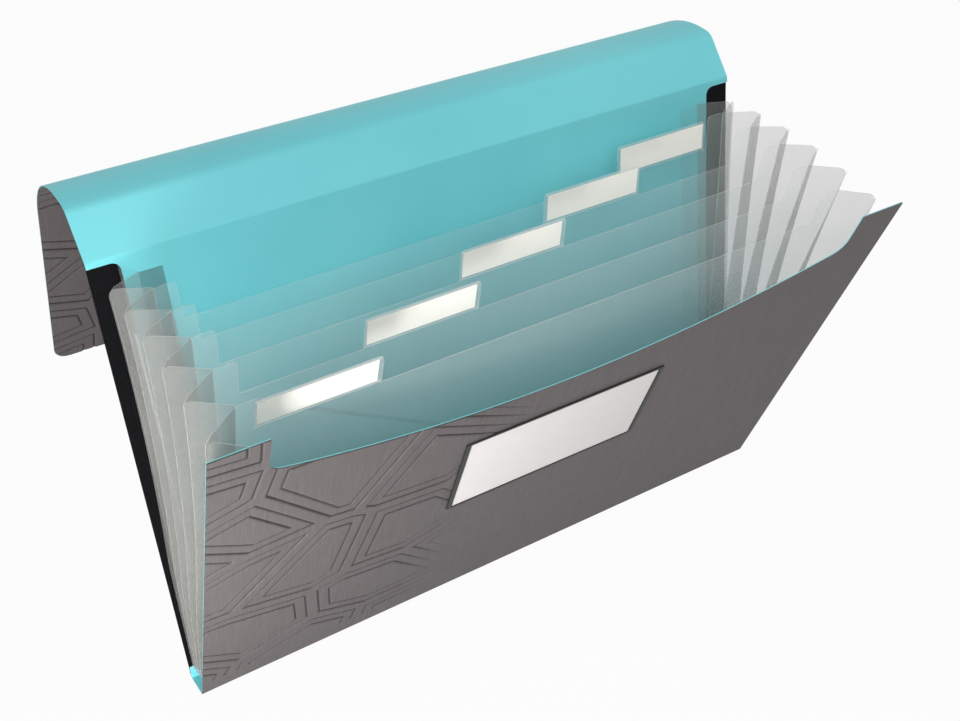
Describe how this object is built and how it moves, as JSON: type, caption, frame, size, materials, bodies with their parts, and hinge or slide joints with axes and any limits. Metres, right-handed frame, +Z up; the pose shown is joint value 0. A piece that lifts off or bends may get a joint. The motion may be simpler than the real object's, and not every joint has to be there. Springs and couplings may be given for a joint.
{
  "type": "accordion file folder",
  "caption": "Open accordion file folder for A4 sheets: folded two-tone cover with finger scoop and long flap, clear pleated gussets, fanned index dividers and a label holder.",
  "frame": {"origin": "middle of the underside of the spine", "axes": "+X along the spine to the right as seen from the front, -Y out of the front, +Z up"},
  "size_m": [0.34, 0.2632, 0.2471],
  "materials": {
    "cover_skin": "warm grey polypropylene with a fine brushed grain",
    "lining": "smooth turquoise polypropylene",
    "clear_film": "clear polypropylene film",
    "gusset_film": "frosted clear polypropylene film",
    "label_frame": "charcoal frame",
    "card": "blank white card",
    "elastic": "flat black elastic"
  },
  "bodies": {
    "back_cover": {"spine_outer": "cover_skin", "spine_lining": "lining", "back_outer": "cover_skin", "back_lining": "lining", "left_band": "elastic", "right_band": "elastic", "back_flanges": "gusset_film"},
    "front_cover": {"front_outer": "cover_skin", "front_lining": "lining", "label_frame": "label_frame", "front_flanges": "gusset_film"},
    "label_card": {"label_card": "card"},
    "divider_1": {"divider_1": "clear_film"},
    "divider_2": {"divider_2": "clear_film"},
    "divider_3": {"divider_3": "clear_film"},
    "divider_4": {"divider_4": "clear_film"},
    "divider_5": {"divider_5": "clear_film"},
    "tab_card_1": {"tab_card_1": "card"},
    "tab_card_2": {"tab_card_2": "card"},
    "tab_card_3": {"tab_card_3": "card"},
    "tab_card_4": {"tab_card_4": "card"},
    "tab_card_5": {"tab_card_5": "card"},
    "left_pleat_1_front": {"left_pleat_1_front": "gusset_film"},
    "left_pleat_1_rear": {"left_pleat_1_rear": "gusset_film"},
    "right_pleat_1_front": {"right_pleat_1_front": "gusset_film"},
    "right_pleat_1_rear": {"right_pleat_1_rear": "gusset_film"},
    "left_pleat_2_front": {"left_pleat_2_front": "gusset_film"},
    "left_pleat_2_rear": {"left_pleat_2_rear": "gusset_film"},
    "right_pleat_2_front": {"right_pleat_2_front": "gusset_film"},
    "right_pleat_2_rear": {"right_pleat_2_rear": "gusset_film"},
    "left_pleat_3_front": {"left_pleat_3_front": "gusset_film"},
    "left_pleat_3_rear": {"left_pleat_3_rear": "gusset_film"},
    "right_pleat_3_front": {"right_pleat_3_front": "gusset_film"},
    "right_pleat_3_rear": {"right_pleat_3_rear": "gusset_film"},
    "left_pleat_4_front": {"left_pleat_4_front": "gusset_film"},
    "left_pleat_4_rear": {"left_pleat_4_rear": "gusset_film"},
    "right_pleat_4_front": {"right_pleat_4_front": "gusset_film"},
    "right_pleat_4_rear": {"right_pleat_4_rear": "gusset_film"},
    "left_pleat_5_front": {"left_pleat_5_front": "gusset_film"},
    "left_pleat_5_rear": {"left_pleat_5_rear": "gusset_film"},
    "right_pleat_5_front": {"right_pleat_5_front": "gusset_film"},
    "right_pleat_5_rear": {"right_pleat_5_rear": "gusset_film"},
    "left_pleat_6_front": {"left_pleat_6_front": "gusset_film"},
    "left_pleat_6_rear": {"left_pleat_6_rear": "gusset_film"},
    "right_pleat_6_front": {"right_pleat_6_front": "gusset_film"},
    "right_pleat_6_rear": {"right_pleat_6_rear": "gusset_film"},
    "flap_root": {"flap_root_outer": "cover_skin", "flap_root_lining": "lining"},
    "flap_strip_1": {"flap_strip_1_outer": "cover_skin", "flap_strip_1_lining": "lining"},
    "flap_strip_2": {"flap_strip_2_outer": "cover_skin", "flap_strip_2_lining": "lining"},
    "flap_strip_3": {"flap_strip_3_outer": "cover_skin", "flap_strip_3_lining": "lining"},
    "flap_strip_4": {"flap_strip_4_outer": "cover_skin", "flap_strip_4_lining": "lining"},
    "flap": {"flap_outer": "cover_skin", "flap_lining": "lining"}
  },
  "joints": [
    {"name": "flap_crease", "type": "hinge", "parent": "back_cover", "child": "flap_root", "pos_m": [0, 0.007, 0.2239], "axis": [1, 0, 0], "range_deg": [0, 119]},
    {"name": "flap_fold", "type": "hinge", "parent": "flap_root", "child": "flap_strip_1", "pos_m": [0, 0.0198, 0.24361], "axis": [1, 0, 0], "range_deg": [0, 136.62]},
    {"name": "flap_bend_1", "type": "hinge", "parent": "flap_strip_1", "child": "flap_strip_2", "pos_m": [0, 0.03693, 0.24675], "axis": [1, 0, 0], "range_deg": [0, 19.25]},
    {"name": "flap_bend_2", "type": "hinge", "parent": "flap_strip_2", "child": "flap_strip_3", "pos_m": [0, 0.05414, 0.24406], "axis": [1, 0, 0], "range_deg": [0, 19.25]},
    {"name": "flap_bend_3", "type": "hinge", "parent": "flap_strip_3", "child": "flap_strip_4", "pos_m": [0, 0.0695, 0.23585], "axis": [1, 0, 0], "range_deg": [0, 19.25]},
    {"name": "flap_bend_4", "type": "hinge", "parent": "flap_strip_4", "child": "flap", "pos_m": [0, 0.0813, 0.22303], "axis": [1, 0, 0], "range_deg": [0, 9.62]},
    {"name": "front_crease", "type": "hinge", "parent": "back_cover", "child": "front_cover", "pos_m": [0, -0.007, 0.0004], "axis": [-1, 0, 0], "range_deg": [0, 29.36]},
    {"name": "divider_1_fold", "type": "hinge", "parent": "back_cover", "child": "divider_1", "pos_m": [0, -0.00467, 0.0012], "axis": [-1, 0, 0], "range_deg": [0, 24.47]},
    {"name": "divider_2_fold", "type": "hinge", "parent": "back_cover", "child": "divider_2", "pos_m": [0, -0.00233, 0.0012], "axis": [-1, 0, 0], "range_deg": [0, 19.57]},
    {"name": "divider_3_fold", "type": "hinge", "parent": "back_cover", "child": "divider_3", "pos_m": [0, 0, 0.0012], "axis": [-1, 0, 0], "range_deg": [0, 14.68]},
    {"name": "divider_4_fold", "type": "hinge", "parent": "back_cover", "child": "divider_4", "pos_m": [0, 0.00233, 0.0012], "axis": [-1, 0, 0], "range_deg": [0, 9.79]},
    {"name": "divider_5_fold", "type": "hinge", "parent": "back_cover", "child": "divider_5", "pos_m": [0, 0.00467, 0.0012], "axis": [-1, 0, 0], "range_deg": [0, 4.89]},
    {"name": "left_pleat_1_front_fold", "type": "hinge", "parent": "front_cover", "child": "left_pleat_1_front", "pos_m": [-0.15, -0.05542, 0.0879], "axis": [0, -0.4903, 0.8716], "range_deg": [0, 31.7]},
    {"name": "left_pleat_1_rear_fold", "type": "hinge", "parent": "divider_1", "child": "left_pleat_1_rear", "pos_m": [-0.15, -0.04636, 0.0921], "axis": [0, 0.4142, -0.9102], "range_deg": [0, 31.61]},
    {"name": "right_pleat_1_front_fold", "type": "hinge", "parent": "front_cover", "child": "right_pleat_1_front", "pos_m": [0.15, -0.05542, 0.0879], "axis": [0, 0.4903, -0.8716], "range_deg": [0, 31.7]},
    {"name": "right_pleat_1_rear_fold", "type": "hinge", "parent": "divider_1", "child": "right_pleat_1_rear", "pos_m": [0.15, -0.04636, 0.0921], "axis": [0, -0.4142, 0.9102], "range_deg": [0, 31.61]},
    {"name": "left_pleat_2_front_fold", "type": "hinge", "parent": "divider_1", "child": "left_pleat_2_front", "pos_m": [-0.15, -0.04581, 0.09234], "axis": [0, -0.4142, 0.9102], "range_deg": [0, 31.23]},
    {"name": "left_pleat_2_rear_fold", "type": "hinge", "parent": "divider_2", "child": "left_pleat_2_rear", "pos_m": [-0.15, -0.03612, 0.09532], "axis": [0, 0.335, -0.9422], "range_deg": [0, 31.23]},
    {"name": "right_pleat_2_front_fold", "type": "hinge", "parent": "divider_1", "child": "right_pleat_2_front", "pos_m": [0.15, -0.04581, 0.09234], "axis": [0, 0.4142, -0.9102], "range_deg": [0, 31.23]},
    {"name": "right_pleat_2_rear_fold", "type": "hinge", "parent": "divider_2", "child": "right_pleat_2_rear", "pos_m": [0.15, -0.03612, 0.09532], "axis": [0, -0.335, 0.9422], "range_deg": [0, 31.23]},
    {"name": "left_pleat_3_front_fold", "type": "hinge", "parent": "divider_2", "child": "left_pleat_3_front", "pos_m": [-0.15, -0.03555, 0.09552], "axis": [0, -0.335, 0.9422], "range_deg": [0, 31.32]},
    {"name": "left_pleat_3_rear_fold", "type": "hinge", "parent": "divider_3", "child": "left_pleat_3_rear", "pos_m": [-0.15, -0.02563, 0.09786], "axis": [0, 0.2534, -0.9674], "range_deg": [0, 31.32]},
    {"name": "right_pleat_3_front_fold", "type": "hinge", "parent": "divider_2", "child": "right_pleat_3_front", "pos_m": [0.15, -0.03555, 0.09552], "axis": [0, 0.335, -0.9422], "range_deg": [0, 31.32]},
    {"name": "right_pleat_3_rear_fold", "type": "hinge", "parent": "divider_3", "child": "right_pleat_3_rear", "pos_m": [0.15, -0.02563, 0.09786], "axis": [0, -0.2534, 0.9674], "range_deg": [0, 31.32]},
    {"name": "left_pleat_4_front_fold", "type": "hinge", "parent": "divider_3", "child": "left_pleat_4_front", "pos_m": [-0.15, -0.02505, 0.09801], "axis": [0, -0.2534, 0.9674], "range_deg": [0, 31.39]},
    {"name": "left_pleat_4_rear_fold", "type": "hinge", "parent": "divider_4", "child": "left_pleat_4_rear", "pos_m": [-0.15, -0.01496, 0.09969], "axis": [0, 0.17, -0.9854], "range_deg": [0, 31.39]},
    {"name": "right_pleat_4_front_fold", "type": "hinge", "parent": "divider_3", "child": "right_pleat_4_front", "pos_m": [0.15, -0.02505, 0.09801], "axis": [0, 0.2534, -0.9674], "range_deg": [0, 31.39]},
    {"name": "right_pleat_4_rear_fold", "type": "hinge", "parent": "divider_4", "child": "right_pleat_4_rear", "pos_m": [0.15, -0.01496, 0.09969], "axis": [0, -0.17, 0.9854], "range_deg": [0, 31.39]},
    {"name": "left_pleat_5_front_fold", "type": "hinge", "parent": "divider_4", "child": "left_pleat_5_front", "pos_m": [-0.15, -0.01437, 0.0998], "axis": [0, -0.17, 0.9854], "range_deg": [0, 31.44]},
    {"name": "left_pleat_5_rear_fold", "type": "hinge", "parent": "divider_5", "child": "left_pleat_5_rear", "pos_m": [-0.15, -0.00416, 0.10081], "axis": [0, 0.0853, -0.9964], "range_deg": [0, 31.44]},
    {"name": "right_pleat_5_front_fold", "type": "hinge", "parent": "divider_4", "child": "right_pleat_5_front", "pos_m": [0.15, -0.01437, 0.0998], "axis": [0, 0.17, -0.9854], "range_deg": [0, 31.44]},
    {"name": "right_pleat_5_rear_fold", "type": "hinge", "parent": "divider_5", "child": "right_pleat_5_rear", "pos_m": [0.15, -0.00416, 0.10081], "axis": [0, -0.0853, 0.9964], "range_deg": [0, 31.44]},
    {"name": "left_pleat_6_front_fold", "type": "hinge", "parent": "divider_5", "child": "left_pleat_6_front", "pos_m": [-0.15, -0.00356, 0.10086], "axis": [0, -0.0853, 0.9964], "range_deg": [0, 31.41]},
    {"name": "left_pleat_6_rear_fold", "type": "hinge", "parent": "back_cover", "child": "left_pleat_6_rear", "pos_m": [-0.15, 0.0063, 0.1004], "axis": [0, 0, -1], "range_deg": [0, 31.49]},
    {"name": "right_pleat_6_front_fold", "type": "hinge", "parent": "divider_5", "child": "right_pleat_6_front", "pos_m": [0.15, -0.00356, 0.10086], "axis": [0, 0.0853, -0.9964], "range_deg": [0, 31.41]},
    {"name": "right_pleat_6_rear_fold", "type": "hinge", "parent": "back_cover", "child": "right_pleat_6_rear", "pos_m": [0.15, 0.0063, 0.1004], "axis": [0, 0, 1], "range_deg": [0, 31.49]},
    {"name": "label_card_slide", "type": "slide", "parent": "front_cover", "child": "label_card", "axis": [1, 0, 0], "range_m": [0, 0.105]},
    {"name": "tab_card_1_slide", "type": "slide", "parent": "divider_1", "child": "tab_card_1", "axis": [1, 0, 0], "range_m": [0, 0.052]},
    {"name": "tab_card_2_slide", "type": "slide", "parent": "divider_2", "child": "tab_card_2", "axis": [1, 0, 0], "range_m": [0, 0.052]},
    {"name": "tab_card_3_slide", "type": "slide", "parent": "divider_3", "child": "tab_card_3", "axis": [1, 0, 0], "range_m": [0, 0.052]},
    {"name": "tab_card_4_slide", "type": "slide", "parent": "divider_4", "child": "tab_card_4", "axis": [-1, 0, 0], "range_m": [0, 0.052]},
    {"name": "tab_card_5_slide", "type": "slide", "parent": "divider_5", "child": "tab_card_5", "axis": [-1, 0, 0], "range_m": [0, 0.052]}
  ],
  "couplings": [
    {"joint": "flap_fold", "follows": "flap_crease", "ratio": 1.1481},
    {"joint": "flap_bend_1", "follows": "flap_crease", "ratio": 0.16176},
    {"joint": "flap_bend_2", "follows": "flap_crease", "ratio": 0.16176},
    {"joint": "flap_bend_3", "follows": "flap_crease", "ratio": 0.16176},
    {"joint": "flap_bend_4", "follows": "flap_crease", "ratio": 0.080882},
    {"joint": "front_crease", "follows": "flap_crease", "ratio": 0.24672},
    {"joint": "divider_1_fold", "follows": "flap_crease", "ratio": 0.2056},
    {"joint": "divider_2_fold", "follows": "flap_crease", "ratio": 0.16448},
    {"joint": "divider_3_fold", "follows": "flap_crease", "ratio": 0.12336},
    {"joint": "divider_4_fold", "follows": "flap_crease", "ratio": 0.082241},
    {"joint": "divider_5_fold", "follows": "flap_crease", "ratio": 0.04112},
    {"joint": "left_pleat_1_front_fold", "follows": "flap_crease", "ratio": 0.26638},
    {"joint": "left_pleat_1_rear_fold", "follows": "flap_crease", "ratio": 0.26567},
    {"joint": "right_pleat_1_front_fold", "follows": "flap_crease", "ratio": 0.26638},
    {"joint": "right_pleat_1_rear_fold", "follows": "flap_crease", "ratio": 0.26567},
    {"joint": "left_pleat_2_front_fold", "follows": "flap_crease", "ratio": 0.26242},
    {"joint": "left_pleat_2_rear_fold", "follows": "flap_crease", "ratio": 0.26242},
    {"joint": "right_pleat_2_front_fold", "follows": "flap_crease", "ratio": 0.26242},
    {"joint": "right_pleat_2_rear_fold", "follows": "flap_crease", "ratio": 0.26242},
    {"joint": "left_pleat_3_front_fold", "follows": "flap_crease", "ratio": 0.2632},
    {"joint": "left_pleat_3_rear_fold", "follows": "flap_crease", "ratio": 0.2632},
    {"joint": "right_pleat_3_front_fold", "follows": "flap_crease", "ratio": 0.2632},
    {"joint": "right_pleat_3_rear_fold", "follows": "flap_crease", "ratio": 0.2632},
    {"joint": "left_pleat_4_front_fold", "follows": "flap_crease", "ratio": 0.26379},
    {"joint": "left_pleat_4_rear_fold", "follows": "flap_crease", "ratio": 0.26379},
    {"joint": "right_pleat_4_front_fold", "follows": "flap_crease", "ratio": 0.26379},
    {"joint": "right_pleat_4_rear_fold", "follows": "flap_crease", "ratio": 0.26379},
    {"joint": "left_pleat_5_front_fold", "follows": "flap_crease", "ratio": 0.26418},
    {"joint": "left_pleat_5_rear_fold", "follows": "flap_crease", "ratio": 0.26418},
    {"joint": "right_pleat_5_front_fold", "follows": "flap_crease", "ratio": 0.26418},
    {"joint": "right_pleat_5_rear_fold", "follows": "flap_crease", "ratio": 0.26418},
    {"joint": "left_pleat_6_front_fold", "follows": "flap_crease", "ratio": 0.26398},
    {"joint": "left_pleat_6_rear_fold", "follows": "flap_crease", "ratio": 0.26465},
    {"joint": "right_pleat_6_front_fold", "follows": "flap_crease", "ratio": 0.26398},
    {"joint": "right_pleat_6_rear_fold", "follows": "flap_crease", "ratio": 0.26465}
  ]
}
